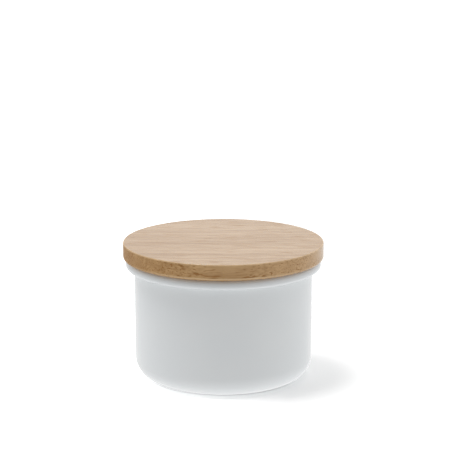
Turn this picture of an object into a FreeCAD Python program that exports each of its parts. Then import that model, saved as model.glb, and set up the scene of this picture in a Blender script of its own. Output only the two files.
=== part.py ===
import FreeCAD
import Part
import Sketcher
import os

# Storage jar: an enamelled steel pot with a rolled rim, a wooden plug lid and its seal ring.
# Millimetres, +Z up, origin on the jar's axis in the plane that the foot stands on.

# Driving sizes: name, value, meaning.
SIZES = (
    ("wall_diameter", "120.0", "outside of the wall at its top, where the rim is rolled"),
    ("rim_height", "82.5", "from the standing ring up to the top of the rolled rim"),
    ("wall_draft", "0.4", "how much the wall's radius narrows from its top down to the base"),
    ("shell_thickness", "0.9", "steel sheet with its enamel on both sides"),
    ("foot_round", "14.8", "outside radius between wall and base"),
    ("stand_width", "4.7", "width of the flat ring that the jar stands on"),
    ("panel_slope", "6.0", "width of the slope from that ring up to the panel of the base"),
    ("panel_rise", "0.8", "height of the panel above the standing ring"),
    ("curl_radius", "3.35", "outside radius of the rolled rim"),
    ("curl_gap", "0.4", "gap from the sheet's rolled edge to the wall"),
    ("seat_clearance", "0.1", "gap from the rim to the wooden round above it"),
    ("lid_overhang", "1.7", "how far the wooden round stands out from the rim"),
    ("lid_thickness", "10.8", "the wooden round above the rim"),
    ("lid_arris", "0.7", "rounding of the round's two edges"),
    ("plug_clearance", "1.6", "gap from the plug to the inside of the wall"),
    ("plug_shoulder", "8.8", "height of the plug above the seal groove"),
    ("groove_height", "4.6", "height of the seal groove"),
    ("groove_depth", "3.0", "depth of the seal groove into the plug"),
    ("plug_flange", "1.6", "height of the plug below the seal groove"),
    ("plug_round", "1.0", "rounding of the plug's lower edge"),
    ("seal_clearance", "0.3", "gap from the seal ring to its groove and to the wall"),
    ("lip_count", "2", "sealing lips on the ring, evenly spaced"),
    ("lip_root", "1.0", "thickness of a sealing lip where it leaves the ring"),
    ("lip_edge", "0.5", "thickness of a sealing lip at its edge"),
    ("lip_lift", "0.6", "how far a sealing lip slants upwards"),
    ("cut_overrun", "1.0", "how far a cut starts outside the surface that it opens"),
)

# Radii, heights and other sizes that follow from the driving sizes.
PLACES = (
    ("wall_radius", "=sizes.wall_diameter / 2"),
    ("base_radius", "=wall_radius - sizes.wall_draft"),
    ("stand_radius", "=base_radius - sizes.foot_round - sizes.stand_width"),
    ("panel_radius", "=stand_radius - sizes.panel_slope"),
    ("panel_top", "=sizes.panel_rise + sizes.shell_thickness"),
    ("base_bore", "=base_radius - sizes.shell_thickness"),
    ("foot_bore_round", "=sizes.foot_round - sizes.shell_thickness"),
    ("mouth_radius", "=wall_radius - sizes.shell_thickness"),
    ("curl_height", "=sizes.rim_height - sizes.curl_radius"),
    ("curl_middle", "=mouth_radius + sizes.curl_radius"),
    ("curl_reach", "=curl_middle + sizes.curl_radius"),
    ("curl_bore", "=sizes.curl_radius - sizes.shell_thickness"),
    ("curl_end_radius", "=wall_radius + sizes.curl_gap"),
    ("curl_end_in", "=curl_middle - curl_end_radius"),
    ("curl_end_drop", "=sqrt(sizes.curl_radius ^ 2 - curl_end_in ^ 2)"),
    ("curl_end_height", "=curl_height - curl_end_drop"),
    ("bore_end_radius", "=curl_middle - curl_end_in * curl_bore / sizes.curl_radius"),
    ("bore_end_height", "=curl_height - curl_end_drop * curl_bore / sizes.curl_radius"),
    ("lid_radius", "=curl_reach + sizes.lid_overhang"),
    ("lid_seat", "=sizes.rim_height + sizes.seat_clearance"),
    ("lid_top", "=lid_seat + sizes.lid_thickness"),
    ("groove_high", "=lid_seat - sizes.plug_shoulder"),
    ("groove_low", "=groove_high - sizes.groove_height"),
    ("plug_low", "=groove_low - sizes.plug_flange"),
    ("wall_bore_slope", "=sizes.wall_draft / (curl_height - sizes.shell_thickness)"),
    ("wall_bore", "=mouth_radius - wall_bore_slope * (curl_height - plug_low)"),
    ("plug_radius", "=wall_bore - sizes.plug_clearance"),
    ("groove_radius", "=plug_radius - sizes.groove_depth"),
    ("groove_mouth", "=plug_radius + sizes.cut_overrun"),
    ("seal_bore", "=groove_radius + sizes.seal_clearance"),
    ("seal_high", "=groove_high - sizes.seal_clearance"),
    ("lip_pitch", "=(seal_high - groove_low) / sizes.lip_count"),
    ("lip_spread", "=lip_pitch * (sizes.lip_count - 1)"),
    ("lip_start", "=(seal_bore + plug_radius) / 2"),
    ("lip_reach", "=wall_bore - sizes.seal_clearance"),
    ("lip_root_low", "=groove_low + (lip_pitch - sizes.lip_root) / 2"),
    ("lip_root_high", "=lip_root_low + sizes.lip_root"),
    ("lip_edge_low", "=lip_root_low + sizes.lip_lift"),
    ("lip_edge_high", "=lip_edge_low + sizes.lip_edge"),
)

# Places closer together than this are the same place.
SAME_PLACE = 1e-6

# A sketch counts the ends of an edge from one up, and its two axes from minus one down.
START, END = range(1, 3)
ALONG_HEIGHT, ALONG_RADIUS = range(-2, 0)
ORIGIN = (ALONG_RADIUS, START)
FULL_TURN = 360

doc = FreeCAD.newDocument("storage_jar")
sizes = doc.addObject("Spreadsheet::Sheet", "sizes")
places = doc.addObject("Spreadsheet::Sheet", "places")
DRIVING = {name for name, value, meaning in SIZES}


def fill_sheets():
    """The driving sizes as plain numbers, and what follows from them as formulas."""
    for row, (name, value, meaning) in enumerate(SIZES, start=1):
        sizes.set(f"A{row}", meaning)
        sizes.set(f"B{row}", value)
        sizes.setAlias(f"B{row}", name)
    doc.recompute()
    for row, (name, formula) in enumerate(PLACES, start=1):
        places.setAlias(f"B{row}", name)
        places.set(f"B{row}", formula)
    doc.recompute()


def cell(name):
    """How an expression refers to a named size."""
    return f"sizes.{name}" if name in DRIVING else f"places.{name}"


def size(name):
    """The present value of a named size; None stands for zero."""
    if name is None:
        return 0.0
    return float((sizes if name in DRIVING else places).get(name))


def spot(radius, height):
    """A sketch point at a named radius and a named height."""
    return FreeCAD.Vector(size(radius), size(height), 0)


def new_body(label):
    """An empty piece at the jar's own origin."""
    body = doc.addObject("PartDesign::Body", label)
    body.Label = label
    body.Placement = FreeCAD.Placement()
    return body


def new_sketch(body, name):
    """An empty sketch in the piece's plane through the jar's axis: radius across, height up."""
    sketch = body.newObject("Sketcher::SketchObject", name)
    plane = next(item for item in body.Origin.OriginFeatures if item.Role == "XZ_Plane")
    sketch.AttachmentSupport = [(plane, "")]
    sketch.MapMode = "FlatFace"
    return sketch


def hold(sketch, edge, end, radius, height):
    """Ties an end of an edge to a named radius and a named height."""
    for kind, name, axis in (("DistanceX", radius, ALONG_HEIGHT), ("DistanceY", height, ALONG_RADIUS)):
        if name is None:
            sketch.addConstraint(Sketcher.Constraint("PointOnObject", edge, end, axis))
        else:
            tie = sketch.addConstraint(Sketcher.Constraint(kind, *ORIGIN, edge, end, size(name)))
            sketch.setExpression(f"Constraints[{tie}]", cell(name))


def outline(body, name, corners, rounds=None):
    """A closed outline through corners given as named radius and height.

    Its edges are straight, apart from the rounds: a round's key is the corner that it leaves, and
    its value is the name of its radius, where its middle lies and whether it runs clockwise.
    """
    sketch = new_sketch(body, name)
    rounds = rounds or {}
    leaves, arrives = [], []
    for corner, following in zip(corners, corners[1:] + corners[:1]):
        radius, middle, clockwise = rounds.get(corner, (None, None, False))
        first, last = (following, corner) if clockwise else (corner, following)
        if radius is None:
            edge = sketch.addGeometry(Part.LineSegment(spot(*corner), spot(*following)))
        else:
            edge = sketch.addGeometry(arc(size(radius), spot(*middle), spot(*first), spot(*last)))
            tie = sketch.addConstraint(Sketcher.Constraint("Radius", edge, size(radius)))
            sketch.setExpression(f"Constraints[{tie}]", cell(radius))
        leaves.append((edge, END if clockwise else START))
        arrives.append((edge, START if clockwise else END))
    for corner, leaving, arriving in zip(corners, leaves, arrives[-1:] + arrives):
        sketch.addConstraint(Sketcher.Constraint("Coincident", *arriving, *leaving))
        hold(sketch, *leaving, *corner)
    return sketch


def arc(radius, middle, first, last):
    """The arc about a middle that runs from one spot to another against the clock."""
    circle = Part.Circle(middle, FreeCAD.Vector(0, 0, 1), radius)
    return Part.ArcOfCircle(circle, circle.parameter(first), circle.parameter(last))


def turned(body, kind, sketch):
    """The outline turned once round the jar's axis, as solid or as a cut."""
    feature = body.newObject(kind, f"{sketch.Name}_turned")
    feature.Profile = sketch
    feature.ReferenceAxis = (sketch, ["V_Axis"])
    feature.Angle = FULL_TURN
    doc.recompute()
    return feature


def cut(body, sketch):
    """Turns the outline as a cut and makes sure that it took something away."""
    before = body.Shape.Volume
    feature = turned(body, "PartDesign::Groove", sketch)
    if feature.Shape.Volume >= before:
        raise RuntimeError(f"{feature.Name} cuts nothing")
    return feature


def is_circle_at(edge, place):
    """Whether an edge is a circle round the axis at a spot's radius and height."""
    if not isinstance(edge.Curve, Part.Circle):
        return False
    off_radius = abs(edge.Curve.Radius - place.x)
    off_height = abs(edge.Curve.Center.z - place.y)
    return max(off_radius, off_height) < SAME_PLACE


def rounded(body, name, radius, corners):
    """Rounds the circular edges that pass through the given corners."""
    base = body.Tip
    wanted = [spot(*corner) for corner in corners]
    edges = []
    for number, edge in enumerate(base.Shape.Edges, start=1):
        if any(is_circle_at(edge, place) for place in wanted):
            edges.append(f"Edge{number}")
    if len(edges) != len(corners):
        raise RuntimeError(f"{name} finds {len(edges)} of its {len(corners)} edges")
    feature = body.newObject("PartDesign::Fillet", name)
    feature.Base = (base, edges)
    feature.setExpression("Radius", cell(radius))
    doc.recompute()


def make_pot():
    """One sheet turned round the axis: base, foot, wall, and the rim rolled outwards and down."""
    pot = new_body("pot")
    wall_top = ("wall_radius", "curl_height")
    bore_end = ("bore_end_radius", "bore_end_height")
    curl_end = ("curl_end_radius", "curl_end_height")
    curl_middle = ("curl_middle", "curl_height")
    section = [
        (None, "panel_rise"),
        ("panel_radius", "panel_rise"),
        ("stand_radius", None),
        ("base_radius", None),
        wall_top,
        bore_end,
        curl_end,
        ("mouth_radius", "curl_height"),
        ("base_bore", "shell_thickness"),
        ("stand_radius", "shell_thickness"),
        ("panel_radius", "panel_top"),
        (None, "panel_top"),
    ]
    rounds = {
        wall_top: ("curl_bore", curl_middle, True),
        curl_end: ("curl_radius", curl_middle, False),
    }
    turned(pot, "PartDesign::Revolution", outline(pot, "pot_section", section, rounds))
    rounded(pot, "foot_bore_rounding", "foot_bore_round", [("base_bore", "shell_thickness")])
    rounded(pot, "foot_rounding", "foot_round", [("base_radius", None)])
    return pot


def make_lid():
    """The wooden round and its plug, turned from one board, with the groove for the seal ring."""
    lid = new_body("lid")
    board = [
        (None, "plug_low"),
        ("plug_radius", "plug_low"),
        ("plug_radius", "lid_seat"),
        ("lid_radius", "lid_seat"),
        ("lid_radius", "lid_top"),
        (None, "lid_top"),
    ]
    turned(lid, "PartDesign::Revolution", outline(lid, "lid_board", board))
    groove = [
        ("groove_radius", "groove_low"),
        ("groove_mouth", "groove_low"),
        ("groove_mouth", "groove_high"),
        ("groove_radius", "groove_high"),
    ]
    cut(lid, outline(lid, "seal_groove", groove))
    board_edges = [("lid_radius", "lid_seat"), ("lid_radius", "lid_top")]
    rounded(lid, "lid_arrises", "lid_arris", board_edges)
    rounded(lid, "plug_rounding", "plug_round", [("plug_radius", "plug_low")])
    return lid


def make_seal_ring():
    """The ring that lies in the plug's groove, with thin lips that reach out to the wall."""
    ring = new_body("seal_ring")
    band = [
        ("seal_bore", "groove_low"),
        ("plug_radius", "groove_low"),
        ("plug_radius", "seal_high"),
        ("seal_bore", "seal_high"),
    ]
    turned(ring, "PartDesign::Revolution", outline(ring, "seal_band", band))
    lip = [
        ("lip_start", "lip_root_low"),
        ("plug_radius", "lip_root_low"),
        ("lip_reach", "lip_edge_low"),
        ("lip_reach", "lip_edge_high"),
        ("plug_radius", "lip_root_high"),
        ("lip_start", "lip_root_high"),
    ]
    first_lip = turned(ring, "PartDesign::Revolution", outline(ring, "seal_lip", lip))
    lips = ring.newObject("PartDesign::LinearPattern", "seal_lips")
    lips.Originals = [first_lip]
    lips.Direction = (first_lip.Profile[0], ["V_Axis"])
    lips.setExpression("Occurrences", cell("lip_count"))
    lips.setExpression("Length", cell("lip_spread"))
    ring.Tip = lips
    doc.recompute()
    return ring


def write_pieces(bodies):
    """Makes sure that every feature and every piece is sound, then writes one file per piece."""
    for item in doc.Objects:
        if "Invalid" in item.State or "Error" in item.State:
            raise RuntimeError(f"{item.Name} failed: {item.State}")
    for body in bodies:
        shape = body.Shape
        if shape.isNull() or not shape.isValid() or len(shape.Solids) != 1:
            raise RuntimeError(f"{body.Label} is not one sound solid")
    os.makedirs("parts", exist_ok=True)
    for body in bodies:
        body.Shape.exportStep(f"parts/{body.Label}.step")
        print(body.Label, round(body.Shape.Volume), body.Shape.BoundBox)


fill_sheets()
write_pieces([make_pot(), make_lid(), make_seal_ring()])
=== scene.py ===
"""Storage jar: an enamelled pot with a rolled rim, a wooden plug lid and the lid's seal ring.

Laid out as an add-on: property groups hold the sizes and colours, one operator makes each piece,
one sets the stage, and a panel in the 3D view's sidebar lists them. Lengths are in metres.
"""
import math

import bmesh
import bpy
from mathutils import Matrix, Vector


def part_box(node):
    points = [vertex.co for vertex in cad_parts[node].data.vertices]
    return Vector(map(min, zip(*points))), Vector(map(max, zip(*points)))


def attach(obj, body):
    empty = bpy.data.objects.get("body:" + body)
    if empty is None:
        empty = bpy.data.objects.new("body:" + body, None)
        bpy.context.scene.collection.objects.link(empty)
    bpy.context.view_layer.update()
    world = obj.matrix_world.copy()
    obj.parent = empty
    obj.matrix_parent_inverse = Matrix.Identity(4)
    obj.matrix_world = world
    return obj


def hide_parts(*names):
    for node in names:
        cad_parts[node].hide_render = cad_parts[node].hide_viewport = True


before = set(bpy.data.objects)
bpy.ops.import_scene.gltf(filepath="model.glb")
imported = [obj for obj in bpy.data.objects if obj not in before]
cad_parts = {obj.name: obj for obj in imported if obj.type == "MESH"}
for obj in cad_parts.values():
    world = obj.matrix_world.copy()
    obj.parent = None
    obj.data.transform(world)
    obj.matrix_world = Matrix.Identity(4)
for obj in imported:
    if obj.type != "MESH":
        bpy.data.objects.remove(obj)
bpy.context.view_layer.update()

bl_info = {
    "name": "Storage Jar",
    "version": (1, 0, 0),
    "blender": (4, 5, 0),
    "location": "View3D > Sidebar > Jar",
    "description": "Builds an enamelled storage jar with a wooden plug lid, and a plain studio stage",
    "category": "Add Mesh",
}

POT_LOW, POT_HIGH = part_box("pot")
LID_LOW, LID_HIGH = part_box("lid")
SEAL_LOW, SEAL_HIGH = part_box("seal_ring")

# Fineness of the turned meshes.
WEDGES = 8
WEDGE_STEPS = 30
ARC_STEP = math.radians(6)
ROUND_PROFILE = 0.5
RUN_LENGTH = 0.005
SAME_PLACE = 1e-6

# The photograph's frame, in pixels, and the camera's sensor, in millimetres.
PICTURE_WIDTH = 460
SENSOR_WIDTH = 36.0


def length(label, description, default):
    """A length that a user may change, in metres."""
    return bpy.props.FloatProperty(
        name=label, description=description, default=default, min=0.0, precision=5, unit="LENGTH")


def colour(label, description, default):
    """A colour that a user may change, linear."""
    return bpy.props.FloatVectorProperty(
        name=label, description=description, default=default, min=0.0, max=1.0, size=3, subtype="COLOR")


def share(label, description, default):
    """A share between none and all."""
    return bpy.props.FloatProperty(
        name=label, description=description, default=default, min=0.0, max=1.0, subtype="FACTOR")


def level(label, description, default):
    """A level of light; one is white."""
    return bpy.props.FloatProperty(name=label, description=description, default=default, min=0.0)


def angle(label, description, degrees):
    """An angle, written in degrees."""
    return bpy.props.FloatProperty(
        name=label, description=description, default=math.radians(degrees), subtype="ANGLE", unit="ROTATION")


class PotSizes(bpy.types.PropertyGroup):
    """Sizes of the enamelled pot"""
    wall_radius: length("Wall radius", "Outside of the wall at its top, under the rolled rim", 0.0600)
    wall_draft: length("Wall draft", "How much the wall narrows from the rim to the base", 0.0004)
    shell: length("Shell", "Steel sheet with its enamel on both sides", 0.0009)
    foot_round: length("Foot round", "Outside radius between wall and base", 0.0148)
    stand_width: length("Standing ring", "Width of the ring that the jar stands on", 0.0047)
    panel_slope: length("Panel slope", "Width of the slope from that ring to the base's panel", 0.0060)
    panel_rise: length("Panel rise", "Height of the panel above the standing ring", 0.0008)
    panel_round: length("Panel round", "Softening of the panel's two bends", 0.0060)
    curl_radius: length("Curl radius", "Outside radius of the rolled rim", 0.00335)
    curl_sag: length("Curl sag", "How far the rim's widest place lies below its middle", 0.0010)
    curl_reach: length("Curl reach", "From the axis to the outside of the rolled rim", POT_HIGH.x)
    crease_round: length("Crease round", "Enamel that fills the crease between rim and wall", 0.0005)
    rim_height: length("Rim height", "Top of the rolled rim", POT_HIGH.z)


class LidSizes(bpy.types.PropertyGroup):
    """Sizes of the wooden lid and of the ring in its groove"""
    radius: length("Radius", "Outside of the wooden round", LID_HIGH.x)
    top: length("Top", "Height of the lid's upper face", LID_HIGH.z)
    thickness: length("Thickness", "The wooden round above the rim", 0.0108)
    plug_low: length("Plug bottom", "Height of the plug's lower face", LID_LOW.z)
    upper_arris: length("Upper arris", "Rounding of the round's upper edge", 0.0007)
    lower_arris: length("Lower arris", "Rounding of the round's lower edge", 0.0013)
    plug_round: length("Plug round", "Rounding of the plug's lower edge", 0.0010)
    plug_fillet: length("Plug fillet", "Hollow between plug and round", 0.0006)
    groove_depth: length("Groove depth", "Depth of the seal groove into the plug", 0.0030)
    groove_arris: length("Groove arris", "Easing of the groove's edges", 0.0002)
    seal_clearance: length("Seal clearance", "Gap from the ring to its groove", 0.0003)
    seal_play: length("Seal play", "Gap under the ring, where it lies in its groove", 0.00005)
    lip_reach: length("Lip reach", "Outside of the sealing lips", SEAL_HIGH.x)
    lip_length: length("Lip length", "How far the lips stand out from the plug", 0.0013)
    lip_root: length("Lip root", "Thickness of a lip where it leaves the ring", 0.0010)
    lip_edge: length("Lip edge", "Thickness of a lip at its edge", 0.0005)
    lip_lift: length("Lip lift", "How far a lip slants upwards", 0.0006)
    seal_round: length("Seal round", "Rounding of the ring's moulded edges", 0.0002)
    seal_low: length("Seal bottom", "Height of the ring's lower face", SEAL_LOW.z)
    seal_high: length("Seal top", "Height of the ring's upper face", SEAL_HIGH.z)
    lip_count: bpy.props.IntProperty(name="Lips", description="Sealing lips on the ring", default=2, min=1)


class JarFinish(bpy.types.PropertyGroup):
    """Colours of the enamel, the wood and the seal"""
    enamel: colour("Enamel", "White of the fired enamel", (0.780, 0.803, 0.812))
    enamel_thin: colour("Thin enamel", "Enamel where it lies thinner", (0.768, 0.794, 0.806))
    wood_pale: colour("Pale wood", "Wood between the growth lines", (0.535, 0.316, 0.118))
    wood_dark: colour("Dark wood", "Wood in the growth lines", (0.370, 0.190, 0.050))
    # This colour also serves as the painted shade along the lid's lower corner
    wood_pore_and_painted_shade: colour("Pores", "The open pores, seen as dashes", (0.270, 0.110, 0.014))
    # Paler from sanding, and a painted highlight along the lid's arrises
    wood_sanded_and_lit: colour("Sanded wood", "Wood along the sanded arrises", (0.660, 0.460, 0.250))
    silicone: colour("Silicone", "The seal ring", (0.760, 0.760, 0.735))
    silicone_cloud: colour("Cloudy silicone", "The ring where it is milkier", (0.800, 0.800, 0.785))


class StageSettings(bpy.types.PropertyGroup):
    """Camera, floor and light"""
    aim_height: length("Aim height", "Height on the jar's axis that the distance is measured to", 0.045)
    distance: length("Distance", "From the camera to that point", 1.501)
    rise: angle("Rise", "How far the camera stands above the horizon", 15.22)
    tip_up: angle("Tip up", "How far the camera looks above that point", 2.080)
    turn_right: angle("Turn right", "How far the camera looks past the jar's right", 0.1767)
    focal_pixels: bpy.props.FloatProperty(
        name="Focal length", description="In pixels of the picture", default=2213.0, subtype="PIXEL")
    floor_size: length("Floor size", "Side of the square floor", 40.0)
    floor_white: level("Floor white", "How bright the floor looks to the camera for the light it gets", 1.18)
    floor_glow: share("Floor glow", "White added where the camera looks at the floor, on the left", 0.34)
    floor_fill: share("Floor fill", "White added to the shade close round the foot", 0.07)
    floor_contact: share("Contact shade", "How dark the floor gets right under the foot", 0.55)
    floor_deep: share("Floor in the shade", "How much of the floor's light reaches the floor again", 0.5)
    floor_near: level("Floor light", "Light that the pale floor throws up on the jar close by", 1.03)
    floor_far: share("Far floor light", "The same from further off", 0.94)
    floor_fade: length("Floor fade", "Distance at which the floor's light is down to the far one", 0.8)
    sky_level: share("Surroundings", "Light from the horizon", 0.90)
    sky_front: share("Dark front", "How much darker the front of the surroundings is", 0.65)
    sky_right: share("Left to right", "How much brighter the right of the surroundings is", 0.08)
    sky_sides: share("Sides", "How much brighter both sides of the surroundings are", 0.30)
    sky_top: level("Overhead light", "Light from a broad softbox straight above", 2.46)
    sun_level: share("Key light", "Light that the soft key throws on the floor", 0.32)
    sun_lean: angle("Key lean", "How far the key stands from straight above, to the left", 17.0)
    sun_front: angle("Key front", "How far the key stands in front of the jar", 1.0)
    sun_width: angle("Key width", "How wide the key light looks from the jar", 24.0)


# Meshes turned from a section

def round_corner(bm, corner, radius):
    """Rounds one corner of a section with an arc of the given radius."""
    before, after = (edge.other_vert(corner).co - corner.co for edge in corner.link_edges)
    turn = math.pi - before.angle(after)
    bmesh.ops.bevel(
        bm, geom=[corner], offset=radius * math.tan(turn / 2), offset_type="ABSOLUTE",
        segments=math.ceil(turn / ARC_STEP), profile=ROUND_PROFILE, affect="VERTICES", material=-1)


def draw_section(corners, closed=False):
    """A section in the XZ plane through corners given as radius, height and rounding."""
    bm = bmesh.new()
    verts = [bm.verts.new((radius, 0.0, height)) for radius, height, rounding in corners]
    for start, end in zip(verts, verts[1:]):
        bm.edges.new((start, end))
    if closed:
        bm.edges.new((verts[-1], verts[0]))
    for vert, (radius, height, rounding) in zip(verts, corners):
        if rounding:
            round_corner(bm, vert, rounding)
    bmesh.ops.remove_doubles(bm, verts=bm.verts[:], dist=SAME_PLACE)
    for edge in list(bm.edges):
        cuts = int(edge.calc_length() / RUN_LENGTH)
        if cuts:
            bmesh.ops.subdivide_edges(bm, edges=[edge], cuts=cuts)
    return bm


def turn_section(bm):
    """Turns the section once round the jar's axis, as a wedge and its copies, and closes seams and poles."""
    axis = {"cent": (0.0, 0.0, 0.0), "axis": (0.0, 0.0, 1.0)}
    wedge = math.tau / WEDGES
    bmesh.ops.spin(bm, geom=bm.verts[:] + bm.edges[:], angle=wedge, steps=WEDGE_STEPS, **axis)
    bmesh.ops.spin(
        bm, geom=bm.verts[:] + bm.edges[:] + bm.faces[:], angle=math.tau - wedge, steps=WEDGES - 1,
        use_duplicate=True, **axis)
    bmesh.ops.remove_doubles(bm, verts=bm.verts[:], dist=SAME_PLACE)
    bmesh.ops.recalc_face_normals(bm, faces=bm.faces[:])


def finish_piece(bm, name, material, body, node):
    """Makes the mesh an object with its material, which rides on a body in place of a node."""
    for face in bm.faces:
        face.smooth = True
    mesh = bpy.data.meshes.new(name)
    bm.to_mesh(mesh)
    bm.free()
    mesh.materials.append(material)
    piece = bpy.data.objects.new(name, mesh)
    bpy.context.scene.collection.objects.link(piece)
    weighting = piece.modifiers.new("true_flats", "WEIGHTED_NORMAL")
    weighting.mode = "FACE_AREA"
    weighting.keep_sharp = True
    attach(piece, body)
    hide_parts(node)


# Materials

class Painter:
    """Adds nodes to one node tree and links them as it goes."""

    def __init__(self, tree):
        self.tree = tree

    def add(self, kind, inputs=None, **settings):
        """A node of that kind; inputs are values or sockets by the input's name or number."""
        node = self.tree.nodes.new(kind)
        for setting, value in settings.items():
            setattr(node, setting, value)
        for key, value in (inputs or {}).items():
            self.feed(node.inputs[key], value)
        return node

    def feed(self, socket, value):
        """Links a socket to a socket, or sets its value."""
        if isinstance(value, bpy.types.NodeSocket):
            self.tree.links.new(value, socket)
        else:
            socket.default_value = value

    def math(self, operation, first, second=0.0):
        """A sum, product or the like of two numbers."""
        return self.add("ShaderNodeMath", {0: first, 1: second}, operation=operation).outputs[0]

    def vector(self, operation, first, second=(0.0, 0.0, 0.0)):
        """A sum, product or the like of two vectors."""
        return self.add("ShaderNodeVectorMath", {0: first, 1: second}, operation=operation)

    def mix(self, factor, first, second):
        """From the first colour to the second."""
        node = self.add("ShaderNodeMix", data_type="RGBA")
        for socket, value in (("Factor_Float", factor), ("A_Color", first), ("B_Color", second)):
            self.feed(next(item for item in node.inputs if item.identifier == socket), value)
        return next(item for item in node.outputs if item.identifier == "Result_Color")

    def spread(self, value, low, high, to_low=0.0, to_high=1.0):
        """Maps low to high onto another range, without going past its ends."""
        inputs = {"Value": value, "From Min": low, "From Max": high, "To Min": to_low, "To Max": to_high}
        return self.add("ShaderNodeMapRange", inputs, clamp=True).outputs["Result"]

    def noise(self, place, cell, detail=0.0, roughness=0.5):
        """Noise whose cells have the given lengths along X, Y and Z."""
        scale = [1.0 / side for side in cell]
        scaled = self.add("ShaderNodeMapping", {"Vector": place, "Scale": scale}).outputs["Vector"]
        inputs = {"Vector": scaled, "Scale": 1.0, "Detail": detail, "Roughness": roughness}
        return self.add("ShaderNodeTexNoise", inputs)

    def bump(self, height, depth, normal=None):
        """Relief of the given depth, in metres."""
        inputs = {"Height": height, "Distance": depth, "Strength": 1.0}
        if normal:
            inputs["Normal"] = normal
        return self.add("ShaderNodeBump", inputs).outputs["Normal"]


def rgba(rgb):
    """A colour with full cover."""
    return (*rgb, 1.0)


WHITE = rgba((1.0, 1.0, 1.0))


def new_material(name):
    """An empty material, its painter, its shader and its place on the piece."""
    material = bpy.data.materials.new(name)
    material.use_nodes = True
    paint = Painter(material.node_tree)
    shader = material.node_tree.nodes["Principled BSDF"]
    place = paint.add("ShaderNodeTexCoord").outputs["Object"]
    return material, paint, shader, place


# How many finer layers a noise has on its cells
SOFT_DETAIL = 1.0
BROKEN_DETAIL = 2.0
RAGGED_DETAIL = 3.0

# Values of a noise between which a tone or a gloss goes from one end to the other
CLOUD_RANGE = (0.35, 0.65)
GRAIN_RANGE = (0.3, 0.7)
NOISE_MEAN = (0.5, 0.5, 0.5)

# The enamel's clouds and ripple: cells, depth and roughness
ENAMEL_CLOUD = (0.030, 0.030, 0.022)
ENAMEL_RIPPLE = (0.0110, 0.0110, 0.0110)
ENAMEL_RIPPLE_DEPTH = 0.0000006
ENAMEL_GLOSS = (0.10, 0.17)
ENAMEL_IOR = 1.5


def enamel_material(finish):
    """Glossy white enamel with faint clouds and the slight ripple of a fired coat."""
    material, paint, shader, place = new_material("white_enamel")
    cloud = paint.noise(place, ENAMEL_CLOUD, BROKEN_DETAIL).outputs["Fac"]
    ripple = paint.noise(place, ENAMEL_RIPPLE, SOFT_DETAIL).outputs["Fac"]
    tone = paint.spread(cloud, *CLOUD_RANGE)
    paint.feed(shader.inputs["Base Color"], paint.mix(tone, rgba(finish.enamel), rgba(finish.enamel_thin)))
    paint.feed(shader.inputs["Roughness"], paint.spread(cloud, *CLOUD_RANGE, *ENAMEL_GLOSS))
    paint.feed(shader.inputs["Normal"], paint.bump(ripple, ENAMEL_RIPPLE_DEPTH))
    shader.inputs["IOR"].default_value = ENAMEL_IOR
    return material


# Cells of the wood's features: length along the grain, then across it
WOOD_WANDER_CELL = (0.110, 0.045, 0.045)
WOOD_STREAK = (0.090, 0.0050, 0.0050)
WOOD_FIBRE = (0.030, 0.0012, 0.0012)
WOOD_PORE = (0.0110, 0.00090, 0.00090)
WOOD_PORE_GROUP = (0.040, 0.012, 0.012)

# How far the grain wanders, the jar's foot as measured from the pith, and the rings' width and raggedness
WOOD_WANDER = (0.0, 0.003, 0.003)
FOOT_FROM_PITH = (0.0, -0.030, 0.120)
WOOD_RING = 0.0042
GRAIN_ROUGHNESS = 0.6

# Parts of a place that count, across the grain and away from the jar's axis
ACROSS_GRAIN = (0.0, 1.0, 1.0)
FROM_AXIS = (1.0, 1.0, 0.0)

# Tone, from pale at none to dark at one, and what each feature adds to it
MEAN_TONE = 0.55
LINE_TONE = (-0.20, 0.20)
STREAK_TONE = (-0.30, 0.30)
FIBRE_TONE = (-0.45, 0.45)
END_GRAIN_SPECKLE = 0.5
# Painted shade darkens the lid's left end and painted light pales its right end, following how the light
# falls on the lid
LEFT_SHADE_SPAN = (-0.4, -1.0)
LEFT_PAINTED_SHADE_TONE = 0.45
RIGHT_PAINTED_LIGHT_TONE = -0.40

# Where the noise is a pore, how crowding shifts that, and the pores' cover on the edge and on flat faces
PORE_EDGE = (0.60, 0.70)
PORE_CROWDING = (-0.06, 0.05)
PORE_COVER = (0.90, 0.35)

# Relief, roughness and the oil's film
WOOD_PORE_DEPTH = 0.00003
WOOD_FIBRE_DEPTH = 0.000006
WOOD_GLOSS = (0.25, 0.29)
END_GRAIN_ROUGHER = 0.30
PORE_ROUGHER = 0.30
FILM_TONE = (0.2, 0.9)
WOOD_FILM = (0.62, 0.36)
# Painted sheen: extra oil film on the right end, where the light falls
RIGHT_PAINTED_SHEEN_FILM = 0.34
FILM_ROUGHNESS = 0.18
WOOD_IOR = 1.5

# The arrises, paler from sanding and a painted highlight, and the painted shade under the round: place, fade
# and cover
ARRIS_INSET = 0.0012
ARRIS_BAND = (0.0008, 0.0004)
ARRIS_FADE = (0.3, 0.9)
ARRIS_SANDED_AND_LIT_COVER = (0.75, 0.15)
UPPER_ARRIS_INSET = 0.0002
UPPER_ARRIS_SANDED_AND_LIT_COVER = 0.5
# Painted shade under the round: place, band and cover
UNDER_SHADE_INSET = 0.0006
UNDER_SHADE_BAND = (0.0009, 0.0004)
UNDER_SHADE_COVER = 0.8


def near_circle(paint, place, radius, height, band):
    """One close to the circle of that radius and height, fading to none over the band of distances."""
    parts = paint.add("ShaderNodeSeparateXYZ", {0: place}).outputs
    flat = paint.vector("MULTIPLY", place, FROM_AXIS).outputs[0]
    from_axis = paint.vector("LENGTH", flat).outputs["Value"]
    outwards = paint.math("SUBTRACT", from_axis, radius)
    upwards = paint.math("SUBTRACT", parts["Z"], height)
    offset = paint.add("ShaderNodeCombineXYZ", {"X": outwards, "Y": upwards}).outputs[0]
    away = paint.vector("LENGTH", offset).outputs["Value"]
    return paint.spread(away, *band)


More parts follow.
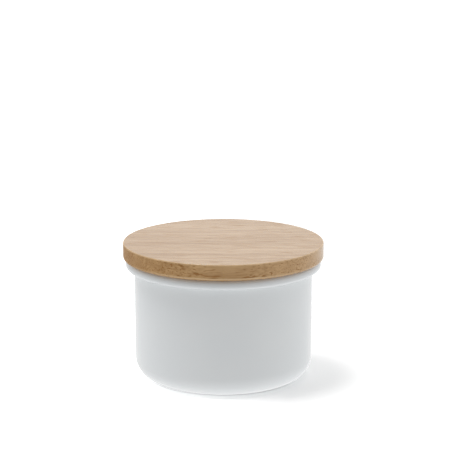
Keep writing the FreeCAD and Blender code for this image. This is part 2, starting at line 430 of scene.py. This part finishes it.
def wandering_grain(paint, place):
    """The place on the piece, moved a little across the grain, so that the grain wanders."""
    wander = paint.noise(place, WOOD_WANDER_CELL, SOFT_DETAIL).outputs["Color"]
    centred = paint.vector("SUBTRACT", wander, NOISE_MEAN).outputs[0]
    bent = paint.vector("MULTIPLY_ADD", centred, WOOD_WANDER)
    paint.feed(bent.inputs[2], place)
    return bent.outputs[0]


def growth_lines(paint, grain):
    """Noise by the distance from a pith below the jar, like uneven growth rings."""
    from_pith = paint.add("ShaderNodeMapping", {"Vector": grain, "Location": FOOT_FROM_PITH})
    across = paint.vector("MULTIPLY", from_pith.outputs[0], ACROSS_GRAIN).outputs[0]
    radius = paint.vector("LENGTH", across).outputs["Value"]
    ring_number = paint.math("DIVIDE", radius, WOOD_RING)
    inputs = {"W": ring_number, "Scale": 1.0, "Detail": BROKEN_DETAIL, "Roughness": GRAIN_ROUGHNESS}
    return paint.add("ShaderNodeTexNoise", inputs, noise_dimensions="1D").outputs["Fac"]


def open_pores(paint, grain):
    """One in a pore and none beside it; the pores are short dashes that crowd in places."""
    cell = paint.noise(grain, WOOD_PORE).outputs["Fac"]
    group = paint.noise(grain, WOOD_PORE_GROUP, SOFT_DETAIL).outputs["Fac"]
    crowding = paint.spread(group, *CLOUD_RANGE, *PORE_CROWDING)
    return paint.spread(paint.math("ADD", cell, crowding), *PORE_EDGE)


def wood_tone(paint, grain, fibre, sideways, end_grain):
    """From pale to dark: growth lines, streaks and fibres, with painted shade on the left end and painted
    light on the right end.
    """
    streak = paint.noise(grain, WOOD_STREAK, BROKEN_DETAIL).outputs["Fac"]
    lines = paint.spread(growth_lines(paint, grain), *GRAIN_RANGE, *LINE_TONE)
    streaks = paint.spread(streak, *GRAIN_RANGE, *STREAK_TONE)
    fibres = paint.spread(fibre, *GRAIN_RANGE, *FIBRE_TONE)
    speckle = paint.math("MULTIPLY", end_grain, END_GRAIN_SPECKLE)
    fibres = paint.math("MULTIPLY", fibres, paint.math("ADD", speckle, 1.0))
    # Painted shade on the left end, painted light on the right end
    painted_left_shade = paint.spread(sideways, *LEFT_SHADE_SPAN, 0.0, LEFT_PAINTED_SHADE_TONE)
    painted_right_light = paint.spread(sideways, 0.0, 1.0, 0.0, RIGHT_PAINTED_LIGHT_TONE)
    tone = MEAN_TONE
    for part in (lines, streaks, fibres, painted_left_shade, painted_right_light):
        tone = paint.math("ADD", part, tone)
    return tone


def sanded_lit_and_shaded_edges(paint, place, lid, end_grain, wood, finish):
    """The wood's colour with the round's arrises paler from sanding and a painted highlight, and a painted
    shade line under the round.
    """
    seat = lid.top - lid.thickness
    # Sanded wood with a painted highlight: the lower arris paler, most at the front and back, least on the
    # end grain
    lower = near_circle(paint, place, lid.radius, seat + ARRIS_INSET, ARRIS_BAND)
    lower_sanded_and_lit = paint.math("MULTIPLY", lower, paint.spread(end_grain, *ARRIS_FADE, *ARRIS_SANDED_AND_LIT_COVER))
    # Painted highlight with sanded wood along the upper arris
    upper_radius = lid.radius - UPPER_ARRIS_INSET
    upper = near_circle(paint, place, upper_radius, lid.top - UPPER_ARRIS_INSET, ARRIS_BAND)
    upper_sanded_and_lit = paint.math("MULTIPLY", upper, UPPER_ARRIS_SANDED_AND_LIT_COVER)
    sanded = paint.math("MAXIMUM", lower_sanded_and_lit, upper_sanded_and_lit)
    sanded_and_lit_wood = paint.mix(sanded, wood, rgba(finish.wood_sanded_and_lit))
    # Painted shade: a thin band of the pores' dark colour along the lower corner, where the rim shades the
    # lid
    under = near_circle(paint, place, lid.radius - UNDER_SHADE_INSET, seat, UNDER_SHADE_BAND)
    painted_under_shade = paint.math("MULTIPLY", under, UNDER_SHADE_COVER)
    return paint.mix(painted_under_shade, sanded_and_lit_wood, rgba(finish.wood_pore_and_painted_shade))


def oil_film(paint, tone, closed, sideways):
    """The oil's film: more on pale wood, less in pores; none at the left end as painted shade, and most at
    the right end as a painted sheen.
    """
    film = paint.math("MULTIPLY", paint.spread(tone, *FILM_TONE, *WOOD_FILM), closed)
    # Painted shade: no film on the left end; painted sheen: more film on the right end
    film = paint.math("MULTIPLY", film, paint.spread(sideways, -1.0, 0.0))
    return paint.math("ADD", film, paint.spread(sideways, 0.0, 1.0, 0.0, RIGHT_PAINTED_SHEEN_FILM))


def wood_material(finish, lid):
    """Pale oiled hardwood with its grain along X: growth lines, fibres, open pores, arrises paler from
    sanding and a painted highlight, painted shade under the round and on the left end, painted light on the
    right end.
    """
    material, paint, shader, place = new_material("oiled_hardwood")
    grain = wandering_grain(paint, place)
    fibre = paint.noise(grain, WOOD_FIBRE, RAGGED_DETAIL, GRAIN_ROUGHNESS).outputs["Fac"]
    facing = paint.add("ShaderNodeTexCoord").outputs["Normal"]
    facing_parts = paint.add("ShaderNodeSeparateXYZ", {0: facing}).outputs
    sideways = facing_parts["X"]
    end_grain = paint.math("ABSOLUTE", sideways)
    flat_face = paint.math("ABSOLUTE", facing_parts["Z"])

    tone = wood_tone(paint, grain, fibre, sideways, end_grain)
    wood = paint.mix(tone, rgba(finish.wood_pale), rgba(finish.wood_dark))
    cover = paint.spread(flat_face, 0.0, 1.0, *PORE_COVER)
    pores = paint.math("MULTIPLY", open_pores(paint, grain), cover)
    closed = paint.math("SUBTRACT", 1.0, pores)
    dashed = paint.mix(pores, wood, rgba(finish.wood_pore_and_painted_shade))
    roughness = paint.spread(fibre, *GRAIN_RANGE, *WOOD_GLOSS)
    for part, rougher in ((end_grain, END_GRAIN_ROUGHER), (pores, PORE_ROUGHER)):
        roughness = paint.math("ADD", roughness, paint.math("MULTIPLY", part, rougher))
    fibre_relief = paint.bump(fibre, WOOD_FIBRE_DEPTH)

    paint.feed(shader.inputs["Base Color"], sanded_lit_and_shaded_edges(paint, place, lid, end_grain, dashed, finish))
    paint.feed(shader.inputs["Roughness"], roughness)
    paint.feed(shader.inputs["Coat Weight"], oil_film(paint, tone, closed, sideways))
    paint.feed(shader.inputs["Normal"], paint.bump(closed, WOOD_PORE_DEPTH, fibre_relief))
    shader.inputs["IOR"].default_value = WOOD_IOR
    shader.inputs["Coat Roughness"].default_value = FILM_ROUGHNESS
    return material


# The silicone's clouds and moulded skin: cells, depth, roughness and milkiness
SILICONE_CLOUD = (0.010, 0.010, 0.004)
SILICONE_SKIN = (0.0006, 0.0006, 0.0006)
SILICONE_SKIN_DEPTH = 0.000006
SILICONE_GLOSS = (0.36, 0.46)
SILICONE_MILK = 0.35
SILICONE_DEPTH = 0.0015
SILICONE_IOR = 1.41


def silicone_material(finish):
    """Milky satin silicone with a fine moulded skin."""
    material, paint, shader, place = new_material("white_silicone")
    cloud = paint.noise(place, SILICONE_CLOUD, BROKEN_DETAIL).outputs["Fac"]
    skin = paint.noise(place, SILICONE_SKIN).outputs["Fac"]
    tone = paint.spread(cloud, *CLOUD_RANGE)
    milk = paint.mix(tone, rgba(finish.silicone), rgba(finish.silicone_cloud))
    paint.feed(shader.inputs["Base Color"], milk)
    paint.feed(shader.inputs["Roughness"], paint.spread(cloud, *CLOUD_RANGE, *SILICONE_GLOSS))
    paint.feed(shader.inputs["Normal"], paint.bump(skin, SILICONE_SKIN_DEPTH))
    shader.inputs["IOR"].default_value = SILICONE_IOR
    shader.inputs["Subsurface Weight"].default_value = SILICONE_MILK
    shader.inputs["Subsurface Scale"].default_value = SILICONE_DEPTH
    return material


# Where the floor's pool of light fades, left to right
POOL_EDGE = (-0.020, 0.045)

# Distances from the jar's axis between which the fill round the foot fades
FILL_EDGE = (0.047, 0.085)

# Height up to which something above the floor shades it as a contact
CONTACT_REACH = 0.0012

# The floor lights the jar evenly on the first diffuse bounce, and partly from the second on.
DEEP_BOUNCES = (1.0, 2.0)


def floor_material(settings):
    """Pale floor: white with the jar's shadow to the camera, white to reflections, even light on the jar."""
    material = bpy.data.materials.new("pale_floor")
    material.use_nodes = True
    material.node_tree.nodes.clear()
    material.cycles.emission_sampling = "NONE"
    paint = Painter(material.node_tree)
    rays = paint.add("ShaderNodeLightPath").outputs
    nearby = paint.add("ShaderNodeAmbientOcclusion", {"Distance": CONTACT_REACH}).outputs["AO"]
    contact = paint.spread(nearby, 0.0, 1.0, settings.floor_contact, 1.0)
    looks = paint.math("MULTIPLY", contact, settings.floor_white)
    matt = paint.add("ShaderNodeBsdfDiffuse", {"Color": WHITE}).outputs[0]
    bright = paint.add("ShaderNodeBsdfDiffuse", {"Color": looks}).outputs[0]
    place = paint.add("ShaderNodeTexCoord").outputs["Object"]
    to_right = paint.add("ShaderNodeSeparateXYZ", {0: place}).outputs["X"]
    away = paint.vector("LENGTH", place).outputs["Value"]
    pool = paint.spread(to_right, *POOL_EDGE, settings.floor_glow, 0.0)
    fill = paint.spread(away, *FILL_EDGE, settings.floor_fill, 0.0)
    glow_level = paint.math("MULTIPLY", paint.math("ADD", pool, fill), contact)
    glow = paint.add("ShaderNodeEmission", {"Color": WHITE, "Strength": glow_level}).outputs[0]
    seen = paint.add("ShaderNodeAddShader", {0: bright, 1: glow}).outputs[0]
    light = paint.spread(away, 0.0, settings.floor_fade, settings.floor_near, settings.floor_far)
    even_level = paint.math("MAXIMUM", light, mirrored_rays(paint, rays))
    even = paint.add("ShaderNodeEmission", {"Color": WHITE, "Strength": even_level}).outputs[0]
    reach = paint.spread(rays["Diffuse Depth"], *DEEP_BOUNCES, 1.0, settings.floor_deep)
    hidden = paint.add("ShaderNodeMixShader", {0: reach, 1: matt, 2: even}).outputs[0]
    surface = paint.add("ShaderNodeMixShader", {0: rays["Is Camera Ray"], 1: hidden, 2: seen}).outputs[0]
    paint.add("ShaderNodeOutputMaterial", {"Surface": surface})
    return material


def mirrored_rays(paint, rays):
    """One where a reflection or a clear body looks, and none elsewhere."""
    return paint.math("MAXIMUM", rays["Is Glossy Ray"], rays["Is Transmission Ray"])


# Stage

# The softbox fades from the zenith with this power of the height; lower is broader.
OVERHEAD_SPREAD = 8.0


def make_floor(settings):
    """A square floor in the plane that the jar stands on."""
    bm = bmesh.new()
    bmesh.ops.create_grid(bm, x_segments=1, y_segments=1, size=settings.floor_size / 2)
    mesh = bpy.data.meshes.new("floor")
    bm.to_mesh(mesh)
    bm.free()
    mesh.materials.append(floor_material(settings))
    floor = bpy.data.objects.new("floor", mesh)
    bpy.context.scene.collection.objects.link(floor)


def make_surroundings(settings):
    """Soft light from the horizon and from above, darker in front; white where it is looked at."""
    world = bpy.data.worlds.new("studio")
    world.use_nodes = True
    world.node_tree.nodes.clear()
    paint = Painter(world.node_tree)
    direction = paint.add("ShaderNodeTexCoord").outputs["Generated"]
    parts = paint.add("ShaderNodeSeparateXYZ", {0: direction}).outputs
    below_zenith = paint.math("SUBTRACT", 1.0, parts["Z"])
    fade = paint.math("MULTIPLY", below_zenith, settings.sky_level)
    front = paint.math("MULTIPLY", paint.math("MINIMUM", parts["Y"], 0.0), settings.sky_front)
    left_to_right = paint.math("MULTIPLY", parts["X"], settings.sky_right)
    sides = paint.math("MULTIPLY", paint.math("MULTIPLY", parts["X"], parts["X"]), settings.sky_sides)
    overhead = paint.math("POWER", paint.math("MAXIMUM", parts["Z"], 0.0), OVERHEAD_SPREAD)
    softbox = paint.math("MULTIPLY", overhead, settings.sky_top)
    sky = fade
    for part in (front, left_to_right, sides, softbox):
        sky = paint.math("ADD", sky, part)
    sky = paint.math("MAXIMUM", sky, 0.0)
    soft = paint.add("ShaderNodeBackground", {"Strength": sky, "Color": WHITE}).outputs[0]
    plain = paint.add("ShaderNodeBackground", {"Strength": 1.0, "Color": WHITE}).outputs[0]
    rays = paint.add("ShaderNodeLightPath").outputs
    looking = paint.math("MAXIMUM", rays["Is Camera Ray"], mirrored_rays(paint, rays))
    mixed = paint.add("ShaderNodeMixShader", {0: looking, 1: soft, 2: plain}).outputs[0]
    paint.add("ShaderNodeOutputWorld", {"Surface": mixed})
    bpy.context.scene.world = world


def make_key_light(settings):
    """One broad soft light from above, a little to the left."""
    lamp = bpy.data.lights.new("key_light", "SUN")
    lamp.energy = settings.sun_level * math.pi
    lamp.angle = settings.sun_width
    key = bpy.data.objects.new("key_light", lamp)
    towards = Vector((-math.tan(settings.sun_lean), -math.tan(settings.sun_front), 1.0))
    key.rotation_euler = towards.to_track_quat("Z", "Y").to_euler()
    bpy.context.scene.collection.objects.link(key)


def make_camera(settings):
    """The camera where the photograph was taken from."""
    lens = bpy.data.cameras.new("camera")
    lens.sensor_width = SENSOR_WIDTH
    lens.lens = settings.focal_pixels * SENSOR_WIDTH / PICTURE_WIDTH
    camera = bpy.data.objects.new("camera", lens)
    back = settings.distance * math.cos(settings.rise)
    up = settings.distance * math.sin(settings.rise)
    camera.location = (0.0, -back, settings.aim_height + up)
    look_down = settings.rise - settings.tip_up
    camera.rotation_euler = (math.pi / 2 - look_down, 0.0, -settings.turn_right)
    bpy.context.scene.collection.objects.link(camera)
    bpy.context.scene.camera = camera


# Operators

class JAR_OT_make_pot(bpy.types.Operator):
    """Make the enamelled pot: rounded foot, upright wall and rolled rim"""
    bl_idname = "jar.make_pot"
    bl_label = "Make Pot"
    bl_options = {"REGISTER", "UNDO"}

    def execute(self, context):
        pot = context.scene.jar_pot
        base_radius = pot.wall_radius - pot.wall_draft
        stand_radius = base_radius - pot.foot_round - pot.stand_width
        panel_radius = stand_radius - pot.panel_slope
        curl_low = pot.rim_height - 2 * pot.curl_radius
        curl_middle = pot.curl_reach - pot.curl_radius
        curl_tight = pot.curl_radius - pot.curl_sag
        curl_wide = pot.curl_radius + pot.curl_sag
        crease_in = curl_middle - pot.wall_radius - pot.crease_round
        crease_lean = math.asin(crease_in / (pot.curl_radius + pot.crease_round))
        curl_under = curl_middle - pot.curl_radius * math.tan(crease_lean / 2)
        crease_height = curl_low + (curl_under - pot.wall_radius) * math.tan(crease_lean)
        bm = draw_section((
            (0.0, pot.panel_rise, 0.0),
            (panel_radius, pot.panel_rise, pot.panel_round),
            (stand_radius, 0.0, pot.panel_round),
            (base_radius, 0.0, pot.foot_round),
            (pot.wall_radius, crease_height, pot.crease_round),
            (curl_under, curl_low, pot.curl_radius),
            (pot.curl_reach, curl_low, curl_tight),
            (pot.curl_reach, pot.rim_height, curl_wide),
            (curl_middle - pot.curl_radius, pot.rim_height, curl_tight),
            (base_radius - pot.shell, pot.shell, pot.foot_round - pot.shell),
            (stand_radius, pot.shell, pot.panel_round),
            (panel_radius, pot.panel_rise + pot.shell, pot.panel_round),
            (0.0, pot.panel_rise + pot.shell, 0.0),
        ))
        turn_section(bm)
        enamel = enamel_material(context.scene.jar_finish)
        finish_piece(bm, "enamel_pot", enamel, "pot", "pot")
        return {"FINISHED"}


class JAR_OT_make_lid(bpy.types.Operator):
    """Make the wooden lid: a flat round with its plug and the groove for the seal"""
    bl_idname = "jar.make_lid"
    bl_label = "Make Lid"
    bl_options = {"REGISTER", "UNDO"}

    def execute(self, context):
        lid = context.scene.jar_lid
        plug_radius = lid.lip_reach - lid.lip_length
        groove_radius = plug_radius - lid.groove_depth
        groove_low = lid.seal_low - lid.seal_play
        groove_high = lid.seal_high + lid.seal_clearance
        seat = lid.top - lid.thickness
        bm = draw_section((
            (0.0, lid.top, 0.0),
            (lid.radius, lid.top, lid.upper_arris),
            (lid.radius, seat, lid.lower_arris),
            (plug_radius, seat, lid.plug_fillet),
            (plug_radius, groove_high, lid.groove_arris),
            (groove_radius, groove_high, lid.groove_arris),
            (groove_radius, groove_low, lid.groove_arris),
            (plug_radius, groove_low, lid.groove_arris),
            (plug_radius, lid.plug_low, lid.plug_round),
            (0.0, lid.plug_low, 0.0),
        ))
        turn_section(bm)
        wood = wood_material(context.scene.jar_finish, lid)
        finish_piece(bm, "wooden_lid", wood, "lid", "lid")
        return {"FINISHED"}


class JAR_OT_make_seal(bpy.types.Operator):
    """Make the seal ring with its lips, which lies in the plug's groove"""
    bl_idname = "jar.make_seal"
    bl_label = "Make Seal Ring"
    bl_options = {"REGISTER", "UNDO"}

    def execute(self, context):
        lid = context.scene.jar_lid
        band_radius = lid.lip_reach - lid.lip_length
        bore = band_radius - lid.groove_depth + lid.seal_clearance
        pitch = (lid.seal_high - lid.seal_low) / lid.lip_count
        corners = [(bore, lid.seal_low), (band_radius, lid.seal_low)]
        for number in range(lid.lip_count):
            root = lid.seal_low + pitch * number + (pitch - lid.lip_root) / 2
            edge = root + lid.lip_lift
            corners += [
                (band_radius, root),
                (lid.lip_reach, edge),
                (lid.lip_reach, edge + lid.lip_edge),
                (band_radius, root + lid.lip_root),
            ]
        corners += [(band_radius, lid.seal_high), (bore, lid.seal_high)]
        bm = draw_section([(*corner, lid.seal_round) for corner in corners], closed=True)
        turn_section(bm)
        silicone = silicone_material(context.scene.jar_finish)
        finish_piece(bm, "silicone_seal", silicone, "seal", "seal_ring")
        return {"FINISHED"}


class JAR_OT_set_stage(bpy.types.Operator):
    """Set the floor, the soft light and the camera"""
    bl_idname = "jar.set_stage"
    bl_label = "Set Stage"
    bl_options = {"REGISTER", "UNDO"}

    def execute(self, context):
        settings = context.scene.jar_stage
        make_floor(settings)
        make_surroundings(settings)
        make_key_light(settings)
        make_camera(settings)
        context.scene.view_settings.view_transform = "Standard"
        return {"FINISHED"}


class JAR_PT_tools(bpy.types.Panel):
    """The jar's operators, with their sizes and colours"""
    bl_idname = "JAR_PT_tools"
    bl_label = "Storage Jar"
    bl_space_type = "VIEW_3D"
    bl_region_type = "UI"
    bl_category = "Jar"

    def draw(self, context):
        for operator in OPERATORS:
            self.layout.operator(operator.bl_idname)
        for name in GROUPS:
            box = self.layout.box()
            group = getattr(context.scene, name)
            for key in group.bl_rna.properties.keys():
                if key not in {"rna_type", "name"}:
                    box.prop(group, key)


GROUPS = {
    "jar_pot": PotSizes,
    "jar_lid": LidSizes,
    "jar_finish": JarFinish,
    "jar_stage": StageSettings,
}
OPERATORS = (JAR_OT_set_stage, JAR_OT_make_pot, JAR_OT_make_lid, JAR_OT_make_seal)
CLASSES = (*GROUPS.values(), *OPERATORS, JAR_PT_tools)


def register():
    """Registers the classes and hangs the property groups on the scene."""
    for cls in CLASSES:
        bpy.utils.register_class(cls)
    for name, group in GROUPS.items():
        setattr(bpy.types.Scene, name, bpy.props.PointerProperty(type=group))


def unregister():
    """Takes the property groups and the classes away again."""
    for name in GROUPS:
        delattr(bpy.types.Scene, name)
    for cls in reversed(CLASSES):
        bpy.utils.unregister_class(cls)


def main():
    """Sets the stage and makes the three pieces."""
    register()
    bpy.ops.jar.set_stage()
    bpy.ops.jar.make_pot()
    bpy.ops.jar.make_lid()
    bpy.ops.jar.make_seal()


if __name__ == "__main__":
    main()
